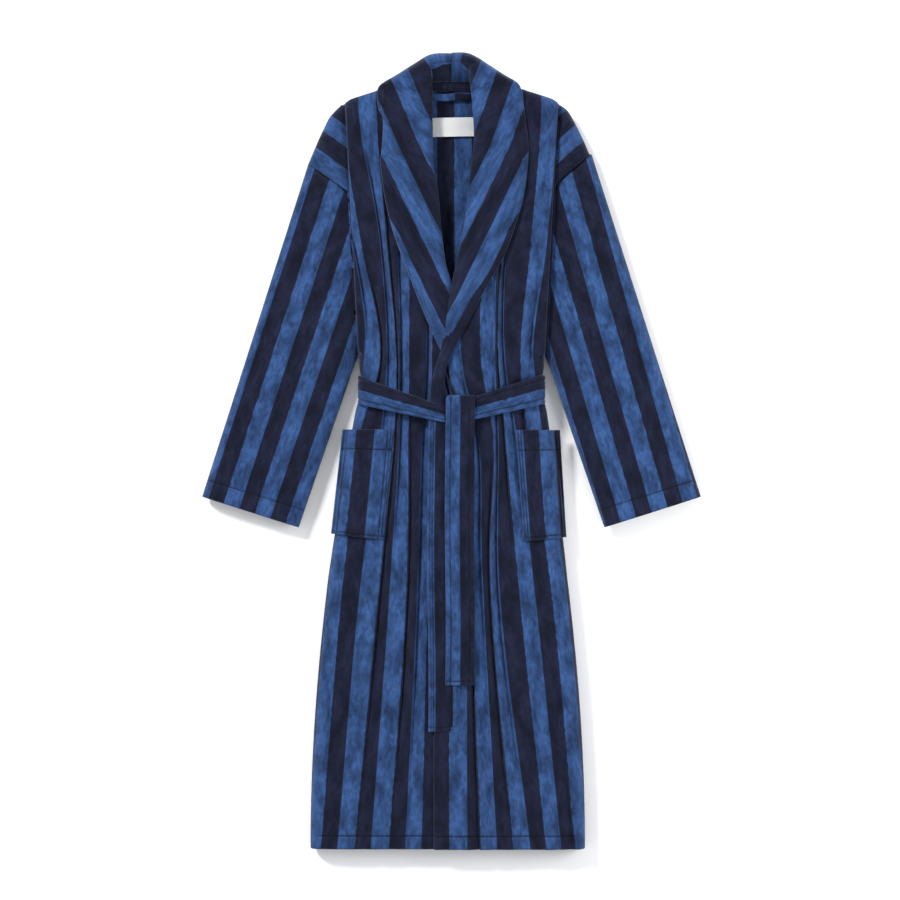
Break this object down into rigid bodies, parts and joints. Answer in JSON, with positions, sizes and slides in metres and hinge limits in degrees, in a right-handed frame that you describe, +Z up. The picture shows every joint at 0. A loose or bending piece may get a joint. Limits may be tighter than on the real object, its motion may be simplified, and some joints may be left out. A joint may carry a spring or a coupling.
{
  "type": "bathrobe",
  "caption": "Full-length striped velour bathrobe with shawl collar, tied belt and patch pockets, lying flat on its back.",
  "frame": {"origin": "middle of the robe as it lies flat, on the surface that it lies on", "axes": "+Y from hem to collar, +Z up out of the robe's front, +X to the wearer's left"},
  "size_m": [0.787, 1.25, 0.059],
  "materials": {
    "striped_velour": "cut-pile cotton velour in navy and blue stripes",
    "navy_velour": "plain navy velour",
    "label_satin": "white woven satin, plain"
  },
  "bodies": {
    "robe_body": {"back_panel": "striped_velour", "right_front_side": "striped_velour", "left_front_side": "striped_velour", "right_side_fold": "striped_velour", "left_side_fold": "striped_velour", "right_front_underlap": "striped_velour", "left_front_underlap": "striped_velour", "right_chest_underlap": "striped_velour", "left_chest_underlap": "striped_velour", "right_collar": "striped_velour", "left_collar": "striped_velour", "back_neck_tape": "navy_velour", "neck_label": "label_satin", "right_pocket": "striped_velour", "left_pocket": "striped_velour", "belt_back": "striped_velour", "belt_right_side": "striped_velour", "belt_left_side": "striped_velour", "right_belt_loop": "striped_velour", "left_belt_loop": "striped_velour"},
    "right_sleeve_end": {"right_sleeve": "striped_velour", "right_front_shoulder": "striped_velour", "right_back_shoulder": "striped_velour"},
    "left_sleeve_end": {"left_sleeve": "striped_velour", "left_front_shoulder": "striped_velour", "left_back_shoulder": "striped_velour"},
    "right_front_flap": {"right_front_edge": "striped_velour", "right_facing": "striped_velour", "right_lapel": "striped_velour", "belt_right_front": "striped_velour"},
    "left_front_flap": {"left_front_edge": "striped_velour", "left_facing": "striped_velour", "left_lapel": "striped_velour", "belt_left_front": "striped_velour", "belt_knot": "striped_velour"},
    "front_tail": {"belt_front_tail": "striped_velour"},
    "back_tail": {"belt_back_tail": "striped_velour"},
    "hanger_loop": {"hanger_loop": "striped_velour"}
  },
  "joints": [
    {"name": "right_sleeve_fold", "type": "hinge", "parent": "robe_body", "child": "right_sleeve_end", "pos_m": [-0.147, 0.15, 0.046], "axis": [-0.0531, 0.9986, 0], "range_deg": [0, 125]},
    {"name": "left_sleeve_fold", "type": "hinge", "parent": "robe_body", "child": "left_sleeve_end", "pos_m": [0.147, 0.15, 0.046], "axis": [-0.0531, -0.9986, 0], "range_deg": [0, 125]},
    {"name": "left_front_opening", "type": "hinge", "parent": "robe_body", "child": "left_front_flap", "pos_m": [0.07069, 0, 0.053], "axis": [0.066, -0.9978, 0], "range_deg": [-150, 0]},
    {"name": "right_front_opening", "type": "hinge", "parent": "robe_body", "child": "right_front_flap", "pos_m": [-0.07069, 0, 0.053], "axis": [0.066, 0.9978, 0], "range_deg": [-67.5, 0]},
    {"name": "front_tail_swing", "type": "hinge", "parent": "left_front_flap", "child": "front_tail", "pos_m": [0.013, 0.066, 0.0506], "axis": [0, 0, 1], "range_deg": [-20, 18]},
    {"name": "back_tail_swing", "type": "hinge", "parent": "left_front_flap", "child": "back_tail", "pos_m": [-0.015, 0.049, 0.0462], "axis": [0, 0, 1], "range_deg": [-15, 12]},
    {"name": "hanger_loop_flip", "type": "hinge", "parent": "robe_body", "child": "hanger_loop", "pos_m": [0, 0.5692, 0.0174], "axis": [-1, 0, 0], "range_deg": [0, 100]}
  ],
  "couplings": [
    {"joint": "right_front_opening", "follows": "left_front_opening", "ratio": 0.45}
  ]
}
